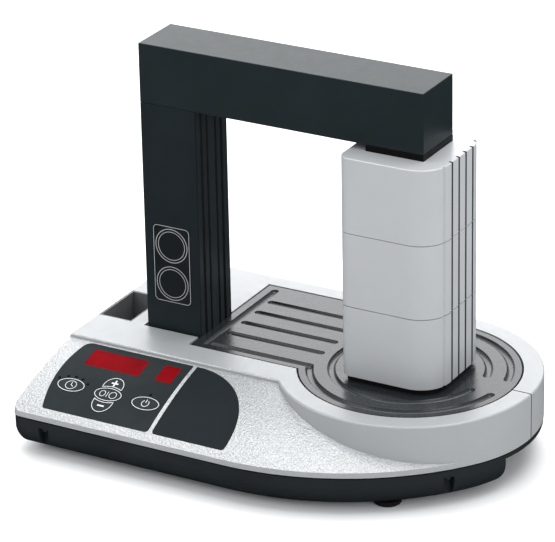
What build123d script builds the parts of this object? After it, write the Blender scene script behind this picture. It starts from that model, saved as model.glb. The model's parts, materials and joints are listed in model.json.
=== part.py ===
"""Bench-top induction heater for bearings: a U-shaped laminated core with a loose yoke bar,
a coil on one leg, and a low housing with a sloped control panel.

Frame: X runs along the yoke from the bare post to the coil, Y runs from the operator's side to
the back, Z is up. The origin is on the bench, in the middle of the footprint. Millimetres.
"""

import os
from math import acos, atan2, cos, degrees, hypot, radians, sin, sqrt

from build123d import *

os.makedirs("parts", exist_ok=True)

# ---------------------------------------------------------------- driving dimensions
CORE = 55.0  # side of the square core section
HALF = CORE / 2
AXIS_Y = 24.5  # mid-plane of the core, and of the round end
POST_X = -126.25  # centre of the bare post
COIL_X = 96.5  # centre of the coil leg, and of the round end
RING_R = 117.0  # radius of the round end
HALF_L = 213.5  # half of the housing's length
HALF_W = 141.5  # half of the housing's depth
FOOT_H = 4.5  # the feet hold the tray this far off the bench
TRAY_TOP = 33.5
COVER_Z = 35.0  # lower edge of the covers, above a shadow gap
DECK_Z = 77.0  # flat top of the covers
LEG_TOP = 291.0  # pole faces, where the yoke rests
WALL = 3.0  # moulded wall thickness
FIT = 0.3  # clearance between neighbouring parts

# front sweep of the housing: an arc tangent to the straight front and to the round end
SWEEP_R = 234.0
SWEEP_Y = SWEEP_R - HALF_W
SWEEP_X = COIL_X - sqrt((SWEEP_R - RING_R) ** 2 - (SWEEP_Y - AXIS_Y) ** 2)
SWEEP_END = degrees(atan2(AXIS_Y - SWEEP_Y, COIL_X - SWEEP_X))

# control slope, an arc in side view, rising from the front rim to a small step below the deck
CREASE_Y = -50.6
RIM_Z = 40.0
STEP = 3.2
SLOPE_SAG = 3.5
SLOPE_DY = CREASE_Y + HALF_W
SLOPE_DZ = DECK_Z - STEP - RIM_Z
SLOPE_CHORD = hypot(SLOPE_DY, SLOPE_DZ)
SLOPE_COS = SLOPE_DY / SLOPE_CHORD
SLOPE_SIN = SLOPE_DZ / SLOPE_CHORD
SLOPE_R = (SLOPE_CHORD**2 / 4 + SLOPE_SAG**2) / (2 * SLOPE_SAG)
SLOPE_CY = (CREASE_Y - HALF_W) / 2 + SLOPE_SIN * (SLOPE_R - SLOPE_SAG)
SLOPE_CZ = RIM_Z + SLOPE_DZ / 2 - SLOPE_COS * (SLOPE_R - SLOPE_SAG)
LEFT_LEAN = 7.5  # the left wall leans in by this much at the deck
SEAM = 1.2  # gap between the front and rear covers
RING_MERGE = 0.3  # the raised ring's wall runs into the side wall a little before it is tangent

# tray
TRAY_INSET = 0.5
TRAY_CORNER = 10.0
TRAY_ROUND = 20.0
GRIP_Y0, GRIP_Y1 = -12.0, 86.0
GRIP_RIGHT_X = 172.0
GRIP_LEFT_X = -187.0
GRIP_TOP = 30.0
SLOT_W = 10.0
SLOT_TOP = 27.5
FEET = [(127.0, -77.0), (-174.0, -107.0), (127.0, 104.0), (-174.0, 107.0)]
FOOT_R = 12.2

# support plate
PLATE_X0 = POST_X + HALF + 0.4
PLATE_Y0 = -20.8
PLATE_R = 97.4
PLATE_TOP = 76.7
PLATE_T = 4.7
PLATE_GAP = 1.8
SEAL_H = 3.0  # height of the seal strip in that gap
GROOVE_W = 7.4
GROOVE_D = 2.9
GROOVE_R = (GROOVE_W**2 / 4 + GROOVE_D**2) / (2 * GROOVE_D)
GROOVE_LIFT = GROOVE_R - GROOVE_D
EDGE_GROOVE = 9.6
EDGE_OPEN = 11.0
RING_GROOVE_R = 68.7
RING_OPEN = 13.0
LINE_GROOVES_Y = [15.9, 40.7, 65.4, 89.6]
LINE_GROOVES_X = (-78.5, 12.5)

# coil
COIL_CX = 99.5  # the coil housing sits a little outboard of its leg
COIL_HX, COIL_HY = 46.5, 49.5
COIL_LEVELS = [82.4, 148.0, 216.2, 285.5]
COIL_R_IN, COIL_R_OUT = 11.0, 27.0
JOINT_GAP = 0.6
FLUTE_Y0 = -5.9
FLUTE_PITCH = 12.9
FLUTE_DEPTHS = [0.9, 3.0, 3.0, 3.0, 3.0, 3.0]
FLUTE_HALF = 1.2  # half the width of a flute
FLUTE_BEVEL = 0.7  # depth of the bevel on its rear lip

# storage pocket
BIN_X0, BIN_X1 = -204.4, -170.8
BIN_Y0, BIN_Y1 = -4.0, 54.5
BIN_Z0 = 35.0

# control panel pieces; s is the distance up the slope from the front rim
PANEL_DEPTH = 1.2
PANEL_PROUD = 0.1
KEY_BOTTOM = -0.6
KEY_PROUD = 0.35
PLUNGER_R = 1.6
BOARD_DROP = 14.0
KEYS = {
    "key_mode": (-171.6, 38.2),
    "key_plus": (-133.0, 51.2),
    "key_enter": (-132.9, 37.1),
    "key_minus": (-133.0, 23.4),
    "key_start": (-94.6, 36.8),
}
OVAL_A, OVAL_B = 13.7, 7.7
WING_A = 10.2  # half the width of the plus and minus keys
WINGS = {"key_plus": (46.6, 11.3), "key_minus": (27.8, 11.4)}  # middle and half height, up the slope
LEDS = [
    (-186.6, 43.6),
    (-179.3, 47.3),
    (-171.8, 48.5),
    (-164.3, 47.4),
    (-157.0, 43.3),
    (-95.0, 47.7),
]
WINDOWS = {"main": (-174.7, -118.6), "unit": (-102.2, -85.9)}
WINDOW_S0, WINDOW_S1 = 66.0, 87.8
INLAY_S0, INLAY_S1 = 8.6, 94.7
SWITCH_H = 3.6
SWITCH_GAP = 0.7

# connector panel in the rear wall
PANEL_X0, PANEL_X1 = -115.0, -5.0
PANEL_Z0, PANEL_Z1 = 40.0, 71.0
PANEL_MID_Z = (PANEL_Z0 + PANEL_Z1) / 2
PANEL_FLOOR_Y = 134.0
INLET_X, FUSE_X, SWITCH_X, PROBE_X = -93.0, -66.0, -43.0, -19.0
ROCKER_R = 11.2
ROCKER_TILT = 7.0
ROCKER_Y = 130.0


def finish_part(part, name):
    """Labels a finished piece and writes it as its own file."""
    part.label = name
    export_step(part, f"parts/{name}.step")


def block(x0, x1, y0, y1, z0, z1, mode=Mode.ADD):
    """A box given by its limits, added to the part being built."""
    with Locations((x0, y0, z0)):
        Box(x1 - x0, y1 - y0, z1 - z0, align=Align.MIN, mode=mode)


def rod(x, y, z0, z1, radius, mode=Mode.ADD):
    """An upright cylinder, added to the part being built."""
    with Locations((x, y, z0)):
        Cylinder(radius, z1 - z0, align=(Align.CENTER, Align.CENTER, Align.MIN), mode=mode)


def rod_y(x, y0, y1, z, radius, mode=Mode.ADD):
    """A cylinder along Y, added to the part being built."""
    with Locations(Location((x, y1, z), (90, 0, 0))):
        Cylinder(radius, y1 - y0, align=(Align.CENTER, Align.CENTER, Align.MIN), mode=mode)


# ---------------------------------------------------------------- shared outlines
def base_outline(inset, corner):
    """Plan of the housing, drawn inset from its widest outline."""
    left, front, back = -HALF_L + inset, -HALF_W + inset, HALF_W - inset
    with BuildSketch() as sketch:
        with BuildLine():
            Line((left, back), (left, front))
            Line((left, front), (SWEEP_X, front))
            CenterArc((SWEEP_X, SWEEP_Y), SWEEP_R - inset, 270, 90 + SWEEP_END)
            CenterArc((COIL_X, AXIS_Y), RING_R - inset, SWEEP_END, 90 - SWEEP_END)
            Line((COIL_X, back), (left, back))
        make_face()
        if corner > 0:
            fillet(sketch.vertices().group_by(Axis.X)[0], corner)
    return sketch.sketch


def plate_outline(grow):
    """Plan of the support plate: a rectangle that runs into a disc."""
    with BuildSketch() as sketch:
        x0, y0 = PLATE_X0 - grow, PLATE_Y0 - grow
        y1 = AXIS_Y + PLATE_R + grow
        with Locations((x0, y0)):
            Rectangle(COIL_X - x0, y1 - y0, align=Align.MIN)
        with Locations((COIL_X, AXIS_Y)):
            Circle(PLATE_R + grow)
    return sketch.sketch


def coil_outline(inset):
    """Section of the coil housing: tight corners towards the post, wide ones outside."""
    with BuildSketch() as sketch:
        with Locations((COIL_CX, AXIS_Y)):
            Rectangle(2 * (COIL_HX - inset), 2 * (COIL_HY - inset))
        fillet(sketch.vertices().group_by(Axis.X)[0], COIL_R_IN - inset)
        fillet(sketch.vertices().group_by(Axis.X)[-1], COIL_R_OUT - inset)
    return sketch.sketch


def coil_flutes():
    """Section of the upright flutes on the outer side of the coil housing."""
    with BuildSketch() as sketch:
        for index, depth in enumerate(FLUTE_DEPTHS):
            y = FLUTE_Y0 + index * FLUTE_PITCH
            edge = COIL_CX + flute_edge(y)
            near, far = y - FLUTE_HALF, y + FLUTE_HALF
            with BuildLine():
                Polyline(
                    (edge - depth, near),
                    (edge + 5, near),
                    (edge + 5, far + 6 * FLUTE_BEVEL),
                    (edge - FLUTE_BEVEL, far),
                    (edge - depth, far),
                    close=True,
                )
            make_face()
    return sketch.sketch


def flute_edge(y):
    """How far the coil housing reaches outboard of its centre at a distance y."""
    past = max(0.0, abs(y - AXIS_Y) - (COIL_HY - COIL_R_OUT))
    return COIL_HX - COIL_R_OUT + sqrt(COIL_R_OUT**2 - past**2)


def slope_height(y):
    """Height of the control slope at a distance y from the middle."""
    return SLOPE_CZ + sqrt(SLOPE_R**2 - (y - SLOPE_CY) ** 2)


def slope_y(s):
    """Plan position of a point s up the slope."""
    return -HALF_W + s * SLOPE_COS


def slope_rise(s):
    """How far the slope stands above its own chord."""
    y = slope_y(s)
    return (slope_height(y) - RIM_Z) * SLOPE_COS - (y + HALF_W) * SLOPE_SIN


def slope_plane(x, s):
    """Plane tangent to the slope at (x, s), normal outwards."""
    y = slope_y(s)
    z = slope_height(y)
    return Plane(origin=(x, y, z), x_dir=(1, 0, 0), z_dir=(0, y - SLOPE_CY, z - SLOPE_CZ))


def slope_band(low, high):
    """Layer that follows the slope between two depths, for cutting panel pieces from."""
    with BuildPart() as band:
        with BuildSketch(Plane.YZ.offset(-HALF_L + 12)):
            with Locations((SLOPE_CY, SLOPE_CZ)):
                Circle(SLOPE_R + high)
                Circle(SLOPE_R + low, mode=Mode.SUBTRACT)
            with Locations((-HALF_W + 2, 20)):
                Rectangle(SLOPE_DY - 4, 80, align=Align.MIN, mode=Mode.INTERSECT)
        extrude(amount=SWEEP_X + HALF_L - 13)
    return band.part


def slope_piece(outline, low, high):
    """A plan outline cut out of the layer that follows the slope."""
    with BuildPart() as piece:
        with BuildSketch(Plane.XY.offset(25)):
            add(outline)
        extrude(amount=70)
        add(slope_band(low, high), mode=Mode.INTERSECT)
    return piece.part


def under_slope(drop):
    """Everything below the control slope: straight at the left, conical round the sweep."""
    lead = 12.0
    with BuildSketch(Plane.YZ) as profile:
        with BuildLine():
            front_z = RIM_Z - drop - lead * SLOPE_SIN / SLOPE_COS
            Polyline(
                (CREASE_Y, DECK_Z - STEP - drop),
                (SWEEP_Y, DECK_Z - STEP - drop),
                (SWEEP_Y, 0),
                (-HALF_W - lead, 0),
                (-HALF_W - lead, front_z),
                (-HALF_W, RIM_Z - drop),
            )
            middle = (CREASE_Y - HALF_W) / 2
            ThreePointArc(
                (-HALF_W, RIM_Z - drop),
                (middle, slope_height(middle) - drop),
                (CREASE_Y, DECK_Z - STEP - drop),
            )
        make_face()
    with BuildPart() as region:
        with BuildSketch(Plane.YZ.offset(-HALF_L - 5)):
            add(profile.sketch_local)
        extrude(amount=SWEEP_X + HALF_L + 5)
        with BuildSketch(Plane.YZ.offset(SWEEP_X)):
            add(profile.sketch_local)
        revolve(axis=Axis((SWEEP_X, SWEEP_Y, 0), (0, 0, 1)), revolution_arc=95)
    return region.part


# ---------------------------------------------------------------- covers
def cover_solid(inset):
    """The covers as one filled solid, drawn inset from the outside by a wall thickness."""
    bottom = COVER_Z - (10 if inset else 0)
    top = DECK_Z - inset
    with BuildPart() as raised:
        with BuildSketch(Plane.XY.offset(bottom)):
            with Locations((0, (CREASE_Y + inset + HALF_W + 20) / 2)):
                Rectangle(2 * HALF_L + 20, HALF_W + 20 - CREASE_Y - inset)
            with Locations((COIL_X, AXIS_Y)):
                Circle(RING_R - inset + RING_MERGE)
        extrude(amount=top - bottom)
    lean = LEFT_LEAN / (DECK_Z - COVER_Z)
    with BuildPart() as solid:
        with BuildSketch(Plane.XY.offset(bottom)):
            add(base_outline(inset, 0))
        extrude(amount=top - bottom)
        with BuildSketch(Plane.XZ.offset(-HALF_W - 20)):
            with BuildLine():
                Polyline(
                    (-HALF_L + inset - (COVER_Z - bottom) * lean, bottom),
                    (-HALF_L + inset + (top - COVER_Z) * lean, top),
                    (-HALF_L - 30, top + 0.01),
                    (-HALF_L - 30, bottom),
                    close=True,
                )
            make_face()
        extrude(amount=2 * HALF_W + 40, mode=Mode.SUBTRACT)
        corners = solid.edges().filter_by(lambda e: e.center().X < -HALF_L + 20)
        corners = corners.filter_by(lambda e: abs(e.center().Y) > HALF_W - inset - 1)
        corners = corners.filter_by(lambda e: e.bounding_box().size.Z > 20)
        corners = corners.filter_by(lambda e: e.bounding_box().size.Y < 1)
        corners = corners.filter_by(lambda e: e.bounding_box().size.X < 15)
        fillet(corners, TRAY_CORNER - inset)
    with BuildPart() as zone:
        add(raised.part)
        add(under_slope(inset * 1.07))
    with BuildPart() as cover:
        add(solid.part)
        add(zone.part, mode=Mode.INTERSECT)
    return cover.part


POST_X0, POST_X1 = POST_X - HALF, POST_X + HALF
CORE_Y0, CORE_Y1 = AXIS_Y - HALF, AXIS_Y + HALF
POST_GAP = 2.8
LEDGE_Z = PLATE_TOP - PLATE_T


# ---------------------------------------------------------------- outlines on the slope, in plan
def oval(key, grow=0.0):
    """Plan of an oval key."""
    x, s = KEYS[key]
    with BuildSketch() as sketch:
        with Locations((x, slope_y(s))):
            Ellipse(OVAL_A + grow, (OVAL_B + grow) * SLOPE_COS)
    return sketch.sketch


def wing(key, grow=0.0):
    """Plan of the plus or minus key: an egg cut back round the middle oval."""
    middle_s, half_s = WINGS[key]
    with BuildSketch() as sketch:
        with Locations((KEYS[key][0], slope_y(middle_s))):
            Ellipse(WING_A + grow, (half_s + grow) * SLOPE_COS)
        add(oval("key_enter", 0.9 - grow), mode=Mode.SUBTRACT)
        side = 1 if middle_s > KEYS["key_enter"][1] else -1
        with Locations((KEYS[key][0], slope_y(KEYS["key_enter"][1]) - side * 20)):
            Rectangle(60, 40, mode=Mode.SUBTRACT)
    return sketch.sketch


def key_outline(key, grow=0.0):
    """Plan of any key, grown for the opening round it."""
    if key in WINGS:
        return wing(key, grow)
    return oval(key, grow)


def window_outline(name, grow=0.0):
    """Plan of a display window."""
    x0, x1 = WINDOWS[name]
    y0, y1 = slope_y(WINDOW_S0), slope_y(WINDOW_S1)
    with BuildSketch() as sketch:
        with Locations((x0 - grow, y0 - grow)):
            Rectangle(x1 - x0 + 2 * grow, y1 - y0 + 2 * grow, align=Align.MIN)
    return sketch.sketch


def keypad_outline(grow=0.0):
    """Plan of the keypad: straight top, bottom and right side, bowed left side."""
    bottom, top = slope_y(INLAY_S0), slope_y(INLAY_S1)
    with BuildSketch() as sketch:
        with BuildLine():
            Line((-184.6, bottom), (-77.4, bottom))
            Line((-77.4, bottom), (-77.0, top))
            Line((-77.0, top), (-185.4, top))
            ThreePointArc((-185.4, top), (-191.9, slope_y(54.0)), (-184.6, bottom))
        make_face()
        fillet(sketch.vertices().sort_by(lambda v: v.X - v.Y)[0], 8.0)
        fillet(sketch.vertices().filter_by(lambda v: v.Y < bottom + 1), 3.0)
        fillet(sketch.vertices().sort_by(lambda v: v.X + v.Y)[-1], 1.5)
        if grow > 0:
            offset(amount=grow)
    return sketch.sketch


def trim_outline(grow=0.0):
    """Plan of the blank trim panel: straight left side, bowed right side."""
    bottom, top = slope_y(INLAY_S0), slope_y(INLAY_S1)
    with BuildSketch() as sketch:
        with BuildLine():
            Line((-1.8, bottom), (-73.2, bottom))
            Line((-73.2, bottom), (-73.2, top))
            Line((-73.2, top), (-68.5, top))
            shoulder = ThreePointArc((-68.5, top), (-36.5, slope_y(84.0)), (-11.4, slope_y(57.0)))
            TangentArc((-11.4, slope_y(57.0)), (-1.8, bottom), tangent=shoulder % 1)
        make_face()
        fillet(sketch.vertices().filter_by(lambda v: v.Y < bottom + 1), 3.0)
        if grow > 0:
            offset(amount=grow)
    return sketch.sketch


def slots():
    """Plan of the four screw channels in the tray's side, as plane locations."""
    sweep = radians(-41.0)
    reach = SWEEP_R - TRAY_INSET
    turn = radians(46.0)
    ring = RING_R - TRAY_INSET
    return [
        Location((-179.6, -HALF_W + TRAY_INSET, 0), (0, 0, -90)),
        Location((SWEEP_X + reach * cos(sweep), SWEEP_Y + reach * sin(sweep), 0), (0, 0, -41)),
        Location((COIL_X + ring * cos(turn), AXIS_Y + ring * sin(turn), 0), (0, 0, 46)),
        Location((-179.6, HALF_W - TRAY_INSET, 0), (0, 0, 90)),
    ]


SLOTS = Locations(slots())
SCREW_IN = 4.6  # the cover screws stand this far in from the tray's side

outer = cover_solid(0)
inner = cover_solid(WALL)

with BuildPart() as covers:
    add(outer)
    add(inner, mode=Mode.SUBTRACT)
    rim = covers.edges().filter_by(lambda e: abs(e.center().Z - DECK_Z) < 0.01)
    rim = rim.filter_by(lambda e: e.center().X > COIL_X or e.center().Y < CREASE_Y + 2)
    fillet(rim, 1.7)
    # ledge that carries the support plate
    with BuildSketch(Plane.XY.offset(LEDGE_Z - 3.2)):
        add(plate_outline(5.5))
        add(plate_outline(-6), mode=Mode.SUBTRACT)
    extrude(amount=3.2)
    with BuildSketch(Plane.XY.offset(LEDGE_Z)):
        add(plate_outline(5.5))
    extrude(amount=DECK_Z - WALL - LEDGE_Z + 0.5)
    with BuildSketch(Plane.XY.offset(LEDGE_Z)):
        add(plate_outline(PLATE_GAP))
    extrude(amount=20, mode=Mode.SUBTRACT)
    # bosses for the cover screws
    with SLOTS:
        with Locations((-SCREW_IN, 0, COVER_Z)):
            Cylinder(4.2, 4.4, align=(Align.CENTER, Align.CENTER, Align.MIN))
    with SLOTS:
        with Locations((-SCREW_IN, 0, COVER_Z - 1)):
            Cylinder(1.95, 4.6, align=(Align.CENTER, Align.CENTER, Align.MIN), mode=Mode.SUBTRACT)
    # openings for the post, the storage bin and the connector panel
    block(POST_X0 - POST_GAP, POST_X1 + 0.4, CORE_Y0 - POST_GAP, CORE_Y1 + POST_GAP, 50, 90,
          mode=Mode.SUBTRACT)
    block(BIN_X0 - FIT, BIN_X1 + FIT, BIN_Y0 - FIT, BIN_Y1 + FIT, 30, 90, mode=Mode.SUBTRACT)
    block(PANEL_X0, PANEL_X1, HALF_W - 10, HALF_W + 5, PANEL_Z0, PANEL_Z1, mode=Mode.SUBTRACT)
    # recesses for the keypad and the trim panel, with openings behind keys and displays
    add(slope_piece(keypad_outline(0.25), -PANEL_DEPTH, 5), mode=Mode.SUBTRACT)
    add(slope_piece(trim_outline(0.25), -PANEL_DEPTH, 5), mode=Mode.SUBTRACT)
    for key in KEYS:
        with BuildSketch(slope_plane(*KEYS[key]).offset(5)):
            Circle(PLUNGER_R + 0.3)
        extrude(amount=-12, mode=Mode.SUBTRACT)
    for name in ("main", "unit"):
        with BuildSketch(Plane.XY.offset(50)):
            add(window_outline(name, -1.5))
        extrude(amount=40, mode=Mode.SUBTRACT)
    for x, s in LEDS:
        with BuildSketch(slope_plane(x, s).offset(5)):
            Circle(0.9)
        extrude(amount=-12, mode=Mode.SUBTRACT)

with BuildPart() as front_cover:
    add(covers.part)
    block(-HALF_L - 5, HALF_L + 5, AXIS_Y - SEAM / 2, HALF_W + 5, 0, 100, mode=Mode.SUBTRACT)
finish_part(front_cover.part, "front_cover")

with BuildPart() as rear_cover:
    add(covers.part)
    block(-HALF_L - 5, HALF_L + 5, -HALF_W - 5, AXIS_Y + SEAM / 2, 0, 100, mode=Mode.SUBTRACT)
finish_part(rear_cover.part, "rear_cover")


# ---------------------------------------------------------------- tray, feet and screws
def hull(inset, bottom):
    """The tray as a filled solid: widely rounded below, with tighter upright corners."""
    edge = TRAY_INSET + inset
    spread = TRAY_ROUND - inset
    corner = TRAY_CORNER - inset
    level = bottom + spread
    turn = acos((spread - corner) / spread)
    x = -HALF_L + edge + corner
    with BuildPart() as solid:
        with BuildSketch(Plane.XY.offset(bottom)):
            add(base_outline(edge, 0))
        extrude(amount=TRAY_TOP - bottom)
        fillet(solid.edges().group_by(Axis.Z)[0], spread)
        for side in (-1, 1):
            y = side * (HALF_W - edge - corner)
            far = y + side * (corner + 1)
            block(x - corner - 1, x, min(y, far), max(y, far), bottom - 1, TRAY_TOP + 1,
                  mode=Mode.SUBTRACT)
            upright = Plane(origin=(x, y, 0), x_dir=(-1, 0, 0), z_dir=(0, 1, 0))
            with BuildSketch(upright) as profile:
                with BuildLine():
                    Line((0, TRAY_TOP), (corner, TRAY_TOP))
                    Line((corner, TRAY_TOP), (corner, level))
                    ThreePointArc(
                        (corner, level),
                        (corner - spread + spread * cos(turn / 2), level - spread * sin(turn / 2)),
                        (0, level - spread * sin(turn)),
                    )
                    Line((0, level - spread * sin(turn)), (0, TRAY_TOP))
                make_face()
            revolve(profile.sketch, axis=Axis((x, y, 0), (0, 0, -side)), revolution_arc=90)
    return solid.part


# walls round the two hand grips and the four screw channels
with BuildPart() as inner_walls:
    block(GRIP_RIGHT_X - WALL, 230, GRIP_Y0 - WALL, GRIP_Y1 + WALL, 0, GRIP_TOP + WALL)
    block(-230, GRIP_LEFT_X + WALL, GRIP_Y0 - WALL, GRIP_Y1 + WALL, 0, GRIP_TOP + WALL)
    with SLOTS:
        with Locations((-5.5, 0, 0)):
            Box(20, SLOT_W + 2 * WALL, 2 * TRAY_TOP)
    add(hull(0, FOOT_H), mode=Mode.INTERSECT)

with BuildPart() as base_tray:
    add(hull(0, FOOT_H))
    add(hull(WALL, FOOT_H + WALL), mode=Mode.SUBTRACT)
    add(inner_walls.part)
    block(GRIP_RIGHT_X, 230, GRIP_Y0, GRIP_Y1, 0, GRIP_TOP, mode=Mode.SUBTRACT)
    block(-230, GRIP_LEFT_X, GRIP_Y0, GRIP_Y1, 0, GRIP_TOP, mode=Mode.SUBTRACT)
    with SLOTS:
        Box(19, SLOT_W, 2 * SLOT_TOP, mode=Mode.SUBTRACT)
    with SLOTS:
        with Locations((-SCREW_IN, 0, SLOT_TOP)):
            Cylinder(2.1, 20, mode=Mode.SUBTRACT)
    for x, y in FEET:
        rod(x, y, FOOT_H + WALL, FOOT_H + WALL + 6, 5.0)
        rod(x, y, FOOT_H - 1, FOOT_H + WALL + 5, 1.75, mode=Mode.SUBTRACT)
finish_part(base_tray.part, "base_tray")

with BuildPart() as feet:
    for x, y in FEET:
        rod(x, y, 0, FOOT_H, FOOT_R)
    fillet(feet.edges().group_by(Axis.Z)[0], 1.5)
    for x, y in FEET:
        rod(x, y, -1, 3.5, 4.5, mode=Mode.SUBTRACT)
        rod(x, y, 0, FOOT_H + 1, 2.0, mode=Mode.SUBTRACT)
finish_part(feet.part, "feet")

with BuildPart() as foot_screws:
    for x, y in FEET:
        rod(x, y, 1.5, 3.5, 3.6)
        rod(x, y, 3.5, 12.0, 1.7)
finish_part(foot_screws.part, "foot_screws")

with BuildPart() as cover_screws:
    with SLOTS:
        with Locations((-SCREW_IN, 0, SLOT_TOP - 2.6)):
            Cylinder(3.4, 2.6, align=(Align.CENTER, Align.CENTER, Align.MIN))
            Cylinder(1.9, 12.0, align=(Align.CENTER, Align.CENTER, Align.MIN))
            Box(5.0, 1.0, 1.6, mode=Mode.SUBTRACT)
finish_part(cover_screws.part, "cover_screws")

# ---------------------------------------------------------------- support plate
PLATE_ARC = degrees(atan2(PLATE_Y0 + EDGE_GROOVE - AXIS_Y,
                          -sqrt((PLATE_R - EDGE_GROOVE) ** 2
                                - (PLATE_Y0 + EDGE_GROOVE - AXIS_Y) ** 2)))
EDGE_R = PLATE_R - EDGE_GROOVE


def line_groove(x0, y0, x1, y1):
    """Straight cutter with round ends, for a groove of circular section."""
    length = hypot(x1 - x0, y1 - y0)
    angle = degrees(atan2(y1 - y0, x1 - x0))
    z = PLATE_TOP + GROOVE_LIFT
    with Locations(Location(((x0 + x1) / 2, (y0 + y1) / 2, z), (0, 0, angle))):
        with Locations(Location((0, 0, 0), (0, 90, 0))):
            Cylinder(GROOVE_R, length)
    with Locations((x0, y0, z), (x1, y1, z)):
        Sphere(GROOVE_R)


def arc_groove(radius, start, sweep):
    """Curved cutter about the coil's axis, with round ends."""
    z = PLATE_TOP + GROOVE_LIFT
    a, b = radians(start), radians(start + sweep)
    start_plane = Plane(
        origin=(COIL_X, AXIS_Y, z), x_dir=(cos(a), sin(a), 0), z_dir=(sin(a), -cos(a), 0)
    )
    with BuildSketch(start_plane) as section:
        with Locations((radius, 0)):
            Circle(GROOVE_R)
    revolve(section.sketch, axis=Axis((COIL_X, AXIS_Y, 0), (0, 0, 1)), revolution_arc=sweep)
    with Locations(
        (COIL_X + radius * cos(a), AXIS_Y + radius * sin(a), z),
        (COIL_X + radius * cos(b), AXIS_Y + radius * sin(b), z),
    ):
        Sphere(GROOVE_R)


with BuildPart() as groove_cutter:
    x0 = PLATE_X0 + EDGE_GROOVE + 1.0
    y0 = PLATE_Y0 + EDGE_GROOVE
    y1 = AXIS_Y + EDGE_R
    arc_x = COIL_X + EDGE_R * cos(radians(PLATE_ARC))
    line_groove(x0, y0, arc_x, y0)
    line_groove(x0, y0, x0, y1)
    line_groove(x0, y1, COIL_X, y1)
    for y in LINE_GROOVES_Y:
        line_groove(LINE_GROOVES_X[0], y, LINE_GROOVES_X[1], y)
    arc_groove(EDGE_R, EDGE_OPEN, 90 - EDGE_OPEN)
    arc_groove(EDGE_R, PLATE_ARC, -EDGE_OPEN - PLATE_ARC)
    arc_groove(RING_GROOVE_R, RING_OPEN, 360 - 2 * RING_OPEN)

with BuildPart() as support_plate:
    with BuildSketch(Plane.XY.offset(LEDGE_Z)):
        add(plate_outline(0))
        with Locations((COIL_X, AXIS_Y)):
            Rectangle(CORE + 1, CORE + 1, mode=Mode.SUBTRACT)
    extrude(amount=PLATE_T)
    add(groove_cutter.part, mode=Mode.SUBTRACT)
finish_part(support_plate.part, "support_plate")

with BuildPart() as plate_seal:
    with BuildSketch(Plane.XY.offset(LEDGE_Z)):
        add(plate_outline(PLATE_GAP - 0.2))
        add(plate_outline(0.2), mode=Mode.SUBTRACT)
        side_x = POST_X1 + 0.5
        with Locations((side_x - 10, AXIS_Y)):
            Rectangle(20, CORE + 2 * POST_GAP, mode=Mode.SUBTRACT)
    extrude(amount=SEAL_H)
finish_part(plate_seal.part, "plate_seal")

SUPPORTS = [(-86, 100), (66, 103), (160, 62), (160, -12), (96, -60)]
with BuildPart() as plate_supports:
    for x, y in SUPPORTS:
        rod(x, y, FOOT_H + WALL, LEDGE_Z, 5.0)
        rod(x, y, FOOT_H + WALL - 1, LEDGE_Z + 1, 2.5, mode=Mode.SUBTRACT)
finish_part(plate_supports.part, "plate_supports")

# ---------------------------------------------------------------- storage bin
with BuildPart() as storage_bin:
    block(BIN_X0, BIN_X1, BIN_Y0, BIN_Y1, BIN_Z0, DECK_Z - 0.2)
    upright = storage_bin.edges().filter_by(Axis.Z)
    fillet(upright, 2.0)
    block(BIN_X0 + 1.4, BIN_X1 - 1.4, BIN_Y0 + 1.4, BIN_Y1 - 1.4, BIN_Z0 + 1.6, 90,
          mode=Mode.SUBTRACT)
finish_part(storage_bin.part, "storage_bin")

# ---------------------------------------------------------------- magnetic core
LIMB_Z0, LIMB_Z1 = 12.0, 67.0
POST_CORE = 24.0  # half of the bare post's core, inside its cladding
BOLTS_X = [-135.0, -12.0, 110.0]
BOLT_Z = 32.0

with BuildPart() as core_base:
    block(POST_X - POST_CORE, COIL_X + HALF, CORE_Y0, CORE_Y1, LIMB_Z0, LIMB_Z1)
    for x in BOLTS_X:
        rod_y(x, CORE_Y0 - 1, CORE_Y1 + 1, BOLT_Z, 3.2, mode=Mode.SUBTRACT)
finish_part(core_base.part, "core_base")

with BuildPart() as post_core:
    block(POST_X - POST_CORE, POST_X + POST_CORE, AXIS_Y - POST_CORE, AXIS_Y + POST_CORE,
          LIMB_Z1, LEG_TOP)
finish_part(post_core.part, "post_core")

with BuildPart() as coil_core:
    block(COIL_X - HALF, COIL_X + HALF, CORE_Y0, CORE_Y1, LIMB_Z1, LEG_TOP)
    chamfer(coil_core.edges().group_by(Axis.Z)[-1], 0.5)
finish_part(coil_core.part, "coil_core")

with BuildPart() as core_brackets:
    for side in (-1, 1):
        near = CORE_Y0 if side < 0 else CORE_Y1
        far = near + side * 3
        toe = near + side * 16
        low, high = min(near, far), max(near, far)
        block(-148, 120, low, high, FOOT_H + WALL, 48)
        block(-148, 120, min(near, toe), max(near, toe), FOOT_H + WALL, FOOT_H + WALL + 3)
    for x in BOLTS_X:
        rod_y(x, CORE_Y0 - 5, CORE_Y1 + 5, BOLT_Z, 3.2, mode=Mode.SUBTRACT)
finish_part(core_brackets.part, "core_brackets")

with BuildPart() as core_bolts:
    for x in BOLTS_X:
        rod_y(x, CORE_Y0 - 7, CORE_Y1 + 9, BOLT_Z, 3.0)
        for y0, y1 in ((CORE_Y0 - 7, CORE_Y0 - 3), (CORE_Y1 + 3, CORE_Y1 + 8)):
            with BuildSketch(Plane.XZ.offset(-y0)):
                with Locations((x, BOLT_Z)):
                    RegularPolygon(5.5, 6)
            extrude(amount=y0 - y1)
finish_part(core_bolts.part, "core_bolts")

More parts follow.
